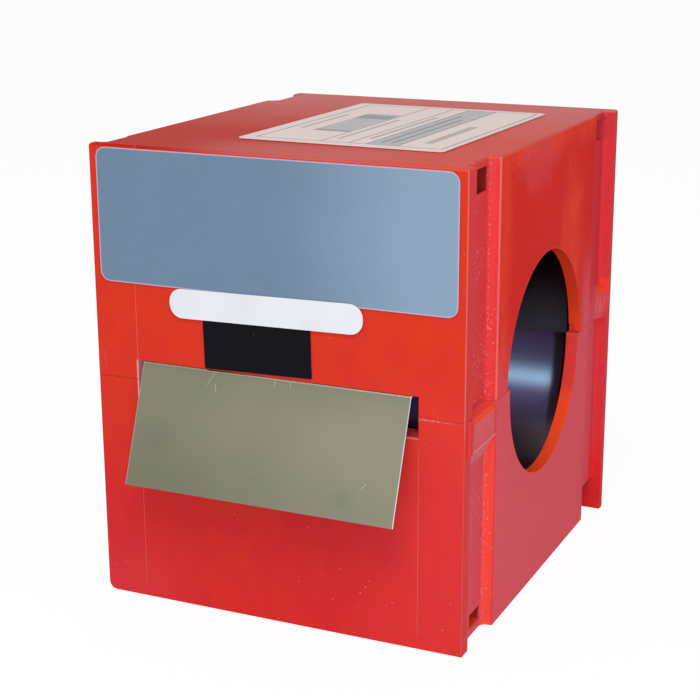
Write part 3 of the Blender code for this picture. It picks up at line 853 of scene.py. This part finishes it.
def rounded_edge(finish, low, high, corner):
    """How far inside the outline a point lies, on an upright sheet with rounded corners."""
    past = []
    for value, start, end in ((finish.x, low.x, high.x), (finish.z, low.z, high.z)):
        off_middle = finish.maths("ABSOLUTE", finish.maths("SUBTRACT", value, (start + end) / 2))
        past.append(finish.maths("SUBTRACT", off_middle, (end - start) / 2 - corner))
    outside = finish.reach(*[finish.maths("MAXIMUM", side, 0.0) for side in past])
    inside = finish.maths("MINIMUM", finish.most(*past), 0.0)
    return finish.maths("SUBTRACT", corner, finish.maths("ADD", outside, inside))


def white_paper(settings):
    """Slightly fibrous white paper."""
    paper = Finish("white_sticker_paper")
    fibre = paper.noise(900.0, 3.0)
    cloud = paper.noise(120.0, 2.0)
    tone = paper.mix(paper.rise(cloud, 0.35, 0.7, 0.0, 0.35), settings.white, settings.white_shade)
    paper.set("Base Color", tone)
    paper.set("Roughness", 0.55)
    paper.set("Specular IOR Level", 0.2)
    paper.set("Normal", paper.bump(fibre, 0.00001))
    return paper.material


def black_film(settings):
    """Matt black film with a little dust."""
    film = Finish("black_sticker_film")
    grain = film.noise(1500.0, 2.0)
    dust = film.product(specks(film, 0.0014, 0.00010, 0.12), 0.25)
    film.set("Base Color", film.mix(dust, settings.black, settings.white_shade))
    film.set("Roughness", 0.45)
    film.set("Specular IOR Level", 0.05)
    film.set("Normal", film.bump(grain, 0.000006))
    return film.material


def ruled_paper(settings):
    """Off-white paper with a ruled form: an outline, columns and shaded cells."""
    paper = Finish("ruled_paper")
    low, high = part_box("top_label")
    middle = (low + high) / 2
    turned = paper.add(
        "ShaderNodeVectorRotate",
        {"Vector": paper.place, "Center": middle, "Axis": (0.0, 0.0, 1.0), "Angle": PAPER_TURN},
    ).outputs["Vector"]
    parts = paper.add("ShaderNodeSeparateXYZ", {"Vector": turned})
    x = paper.maths("SUBTRACT", parts.outputs[0], middle.x)
    y = paper.maths("SUBTRACT", parts.outputs[1], middle.y)

    def cell(left, front, right, rear):
        return paper.product(
            paper.within(x, left, right, RULE_BLUR), paper.within(y, front, rear, RULE_BLUR)
        )

    left, front, right, rear = FORM
    half = RULE_WIDTH / 2
    shades = [cell(*area) for area in FORM_SHADES]
    bars = [cell(*area) for area in FORM_BARS]
    lines = [cell(edge - half, front, edge + half, rear) for edge in (left, *FORM_COLUMNS, right)]
    lines += [cell(left, edge - half, right, edge + half) for edge in (front, rear)]
    fibre = paper.noise(700.0, 3.0)
    shade = paper.product(paper.most(*shades), paper.rise(fibre, 0.2, 0.8, 0.5, 0.8))
    colour = paper.mix(shade, settings.paper, settings.shade)
    colour = paper.mix(paper.product(paper.most(*bars), 0.42), colour, settings.rule)
    colour = paper.mix(paper.product(paper.most(*lines), 0.85), colour, settings.rule)
    paper.set("Base Color", colour)
    paper.set("Roughness", 0.6)
    paper.set("Specular IOR Level", 0.2)
    paper.set("Normal", paper.bump(fibre, 0.00001))
    return paper.material


def add_piece(name, bm, material):
    """Turns bm into an object with smooth faces and frees it."""
    mesh = bpy.data.meshes.new(name)
    bm.to_mesh(mesh)
    bm.free()
    mesh.materials.append(material)
    mesh.polygons.foreach_set("use_smooth", [True] * len(mesh.polygons))
    piece = bpy.data.objects.new(name, mesh)
    bpy.context.scene.collection.objects.link(piece)
    return piece


def copy_of_node(node):
    """A bmesh of a node of the part, with its loose triangles joined into flat faces."""
    bm = bmesh.new()
    bm.from_mesh(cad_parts[node].data)
    bmesh.ops.remove_doubles(bm, verts=bm.verts, dist=WELD)
    bmesh.ops.dissolve_limit(bm, angle_limit=FLAT_ANGLE, verts=bm.verts, edges=bm.edges)
    return bm


def close_on_parting(bm, closing):
    """Brings the faces that lie just off the parting line, and round the tongue, nearer."""
    for vert in bm.verts:
        away = vert.co.z - PARTING
        if PART_GAP / 2 - WELD < abs(away) < PART_GAP / 2 + WELD:
            vert.co.z -= math.copysign(closing, away)
        if abs(away - REBATE_TOP) < WELD:
            vert.co.z -= 2 * closing
        if abs(abs(vert.co.x) - REBATE_X) < WELD and away < REBATE_TOP:
            vert.co.x -= math.copysign(2 * closing, vert.co.x)


def tighten_rail_foot(bm, radius):
    """Makes the rounding at the foot of the front left rail smaller."""
    for vert in bm.verts:
        over = vert.co.x - LOWER_LOW.x
        in_corner = max(over, vert.co.z) < RAIL_FOOT_RADIUS + WELD
        if in_corner and vert.co.y < WELD - RAIL_FACE:
            vert.co.x = LOWER_LOW.x + over * radius / RAIL_FOOT_RADIUS
            vert.co.z *= radius / RAIL_FOOT_RADIUS


def finish_on_node(node, material):
    """Gives a node of the part a better material."""
    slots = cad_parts[node].material_slots
    for slot in slots:
        slot.material = material


class MouldShells(bpy.types.Operator):
    """Rounds the edges of the two box halves and colours them"""

    bl_idname = "dispenser.mould_shells"
    bl_label = "Mould Box Halves"

    def execute(self, context):
        settings = context.scene.dispenser_shells
        plastic = red_plastic(settings)
        for node, name in (("lower_shell", "lower_half"), ("upper_shell", "upper_half")):
            bm = copy_of_node(node)
            close_on_parting(bm, settings.closing)
            tighten_rail_foot(bm, settings.foot_radius)
            half = add_piece(name, bm, plastic)
            rounding = half.modifiers.new("rounded_edges", "BEVEL")
            rounding.width = settings.edge_radius
            rounding.segments = settings.edge_steps
            rounding.limit_method = "ANGLE"
            rounding.angle_limit = ROUNDED_ANGLE
            rounding.use_clamp_overlap = True
            shading = half.modifiers.new("even_shading", "WEIGHTED_NORMAL")
            shading.keep_sharp = True
            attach(half, "root")
            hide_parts(node)
        return {"FINISHED"}


def strip_path(settings):
    """The strip's middle line as (x, y, z) points, from its inner end to its free end."""
    outer = COIL_RADIUS - settings.thickness / 2
    bend = Vector((FRONT - LEAD_STAND_OFF, SLOT_TOP - LEAD_BELOW_SLOT_TOP))
    centre = Vector((COIL_Y, COIL_Z))
    away = bend - centre
    leaving = math.atan2(away.y, away.x) - math.acos(outer / away.length)
    wound = 2 * math.pi * settings.turns + leaving - settings.inner_end
    count = round(settings.steps * wound / (2 * math.pi))
    points = []
    for step in range(count + 1):
        turned = wound * step / count
        angle = settings.inner_end + turned
        left = wound - turned
        radius = outer - settings.pitch * left / (2 * math.pi)
        shift = COIL_DRIFT * left / wound + TURN_STAGGER * math.sin(STAGGER_RATE * left)
        y, z = centre + radius * Vector((math.cos(angle), math.sin(angle)))
        points.append(Vector((LEAD_X + shift, y, z)))
    # From the coil the strip runs straight to an arc over the slot's edge, and then hangs.
    start = Vector(points[-1].yz)
    slope = Vector((-math.sin(settings.lean), -math.cos(settings.lean)))
    heading = (bend - start).normalized()
    sweep = heading.angle(slope)
    entry = bend - heading * settings.bend_radius * math.tan(sweep / 2)
    side = Vector((heading.y, -heading.x))
    if side.dot(slope) < 0:
        side = -side
    middle = entry + side * settings.bend_radius
    for step in range(BEND_STEPS + 1):
        along = sweep * step / BEND_STEPS
        forward = heading * math.sin(along) - side * math.cos(along)
        y, z = middle + forward * settings.bend_radius
        points.append(Vector((LEAD_X, y, z)))
    flat_start = Vector(points[-1].yz)
    flat_end = bend + slope * settings.hang
    for step in range(1, settings.flat_steps + 1):
        y, z = flat_start.lerp(flat_end, step / settings.flat_steps)
        points.append(Vector((LEAD_X, y, z)))
    return points


def strip_length(settings):
    path = strip_path(settings)
    return sum((b - a).length for a, b in zip(path, path[1:]))


def lay_strip_map(bm, left_verts, path):
    """A map in metres: across the strip from its left edge, and along it from its inner end."""
    layer = bm.loops.layers.uv.new("strip")
    runs = {}
    run = 0.0
    for index, vert in enumerate(left_verts):
        if index:
            run += (path[index] - path[index - 1]).length
        runs[vert] = run
    for face in bm.faces:
        starts = [vert for vert in face.verts if vert in runs]
        for loop in face.loops:
            if loop.vert in runs:
                loop[layer].uv = (0.0, runs[loop.vert])
            else:
                near = min(starts, key=lambda vert: (vert.co.yz - loop.vert.co.yz).length)
                loop[layer].uv = (STRIP_WIDTH, runs[near])


class WindStrip(bpy.types.Operator):
    """Winds the steel strip, from its inner end to the end that hangs out of the slot"""

    bl_idname = "dispenser.wind_strip"
    bl_label = "Wind Strip"

    def execute(self, context):
        settings = context.scene.dispenser_strip
        bm = bmesh.new()
        path = strip_path(settings)
        left = Vector((STRIP_WIDTH / 2, 0.0, 0.0))
        verts = [bm.verts.new(point - left) for point in path]
        edges = [bm.edges.new(pair) for pair in zip(verts, verts[1:])]
        grown = bmesh.ops.extrude_edge_only(bm, edges=edges)["geom"]
        moved = [item for item in grown if isinstance(item, bmesh.types.BMVert)]
        bmesh.ops.translate(bm, verts=moved, vec=2 * left)
        lay_strip_map(bm, verts, path)
        bmesh.ops.recalc_face_normals(bm, faces=bm.faces)
        for edge in bm.edges:
            edge.smooth = not edge.is_boundary
        strip = add_piece("steel_strip", bm, rolled_steel(settings))
        sheet = strip.modifiers.new("thickness", "SOLIDIFY")
        sheet.thickness = settings.thickness
        sheet.offset = 0.0
        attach(strip, "root")
        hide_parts("foil_roll")
        return {"FINISHED"}


class StickLabels(bpy.types.Operator):
    """Finishes the labels on the front and on the top"""

    bl_idname = "dispenser.stick_labels"
    bl_label = "Stick Labels"

    def execute(self, context):
        settings = context.scene.dispenser_labels
        finish_on_node("front_label", label_film(settings))
        finish_on_node("size_sticker", white_paper(settings))
        finish_on_node("gauge_sticker", black_film(settings))
        finish_on_node("top_label", ruled_paper(settings))
        return {"FINISHED"}


def add_lamp(name, place, size, power):
    """A soft square lamp that faces the middle of the box."""
    lamp = bpy.data.lights.new(name, "AREA")
    lamp.size = size
    lamp.energy = power
    item = bpy.data.objects.new(name, lamp)
    item.location = place
    aim = Vector((0.0, 0.0, TOP / 2)) - Vector(place)
    item.rotation_euler = aim.to_track_quat("-Z", "Y").to_euler()
    bpy.context.scene.collection.objects.link(item)


def rays_that_see_white(tree):
    """1 for the rays that come from the camera, or from it by a mirror or through glass."""
    rays = tree.nodes.new("ShaderNodeLightPath")
    seen = rays.outputs["Is Camera Ray"]
    for name in ("Is Glossy Ray", "Is Transmission Ray"):
        either = tree.nodes.new("ShaderNodeMath")
        either.operation = "MAXIMUM"
        tree.links.new(seen, either.inputs[0])
        tree.links.new(rays.outputs[name], either.inputs[1])
        seen = either.outputs[0]
    return seen


def blend_shaders(tree, share, first, second, output):
    """Leads a blend of two shaders to the output."""
    blend = tree.nodes.new("ShaderNodeMixShader")
    for socket, value in zip(blend.inputs, (share, first.outputs[0], second.outputs[0])):
        tree.links.new(value, socket)
    tree.links.new(blend.outputs[0], tree.nodes[output].inputs["Surface"])


def lay_floor(settings):
    """A pale floor that keeps the box's shadow and nears white in the camera's view."""
    bm = bmesh.new()
    bmesh.ops.create_grid(bm, x_segments=1, y_segments=1, size=FLOOR_REACH)
    pale = bpy.data.materials.new("pale_floor")
    pale.use_nodes = True
    tree = pale.node_tree
    surface = tree.nodes["Principled BSDF"]
    surface.inputs["Base Color"].default_value = (*settings.floor, 1.0)
    surface.inputs["Roughness"].default_value = 0.9
    glow = tree.nodes.new("ShaderNodeEmission")
    glow.inputs["Strength"].default_value = FLOOR_GLOW
    share = tree.nodes.new("ShaderNodeMath")
    share.operation = "MULTIPLY"
    share.inputs[1].default_value = FLOOR_GLOW_SHARE
    tree.links.new(rays_that_see_white(tree), share.inputs[0])
    blend_shaders(tree, share.outputs[0], surface, glow, "Material Output")
    add_piece("floor", bm, pale)


def light_room(scene):
    """A plain even light, and white behind the floor."""
    world = bpy.data.worlds.new("studio")
    scene.world = world
    world.use_nodes = True
    tree = world.node_tree
    lit = tree.nodes["Background"]
    lit.inputs["Color"].default_value = ROOM_TINT
    lit.inputs["Strength"].default_value = ROOM_LIGHT
    seen = tree.nodes.new("ShaderNodeBackground")
    seen.inputs["Color"].default_value = (1.0, 1.0, 1.0, 1.0)
    blend_shaders(tree, rays_that_see_white(tree), lit, seen, "World Output")
    for lamp in LAMPS:
        add_lamp(*lamp)


def place_camera(scene, settings):
    """The camera where the picture was taken from."""
    camera = bpy.data.objects.new("camera", bpy.data.cameras.new("camera"))
    camera.data.lens = settings.lens
    camera.data.sensor_width = SENSOR_WIDTH
    camera.data.clip_start = 0.01
    turn = Matrix.Rotation(settings.azimuth, 4, "Z")
    tip = Matrix.Rotation(math.pi / 2 - settings.elevation, 4, "X")
    roll = Matrix.Rotation(settings.roll, 4, "Z")
    camera.matrix_world = Matrix.Translation(settings.place) @ turn @ tip @ roll
    scene.collection.objects.link(camera)
    scene.camera = camera


class SetStage(bpy.types.Operator):
    """Lays the floor and sets the lamps, the background and the camera"""

    bl_idname = "dispenser.set_stage"
    bl_label = "Set Stage"

    def execute(self, context):
        settings = context.scene.dispenser_stage
        context.scene.view_settings.view_transform = "Standard"
        lay_floor(settings)
        light_room(context.scene)
        place_camera(context.scene, settings)
        return {"FINISHED"}


class DispenserPanel(bpy.types.Panel):
    """Lists the settings and the steps"""

    bl_idname = "VIEW3D_PT_dispenser"
    bl_label = "Strip Dispenser"
    bl_space_type = "VIEW_3D"
    bl_region_type = "UI"
    bl_category = "Dispenser"

    def draw(self, context):
        for name, group in SETTINGS.items():
            box = self.layout.box()
            for prop in group.__annotations__:
                box.prop(getattr(context.scene, name), prop)
        for step in STEPS:
            self.layout.operator(step.bl_idname)


STEPS = (MouldShells, WindStrip, StickLabels, SetStage)
CLASSES = (*SETTINGS.values(), *STEPS, DispenserPanel)


def register():
    for item in CLASSES:
        bpy.utils.register_class(item)
    for name, group in SETTINGS.items():
        setattr(bpy.types.Scene, name, PointerProperty(type=group))


def unregister():
    for name in SETTINGS:
        delattr(bpy.types.Scene, name)
    for item in reversed(CLASSES):
        bpy.utils.unregister_class(item)


def main():
    register()
    bpy.ops.dispenser.mould_shells()
    bpy.ops.dispenser.wind_strip()
    bpy.ops.dispenser.stick_labels()
    bpy.ops.dispenser.set_stage()


if __name__ == "__main__":
    main()
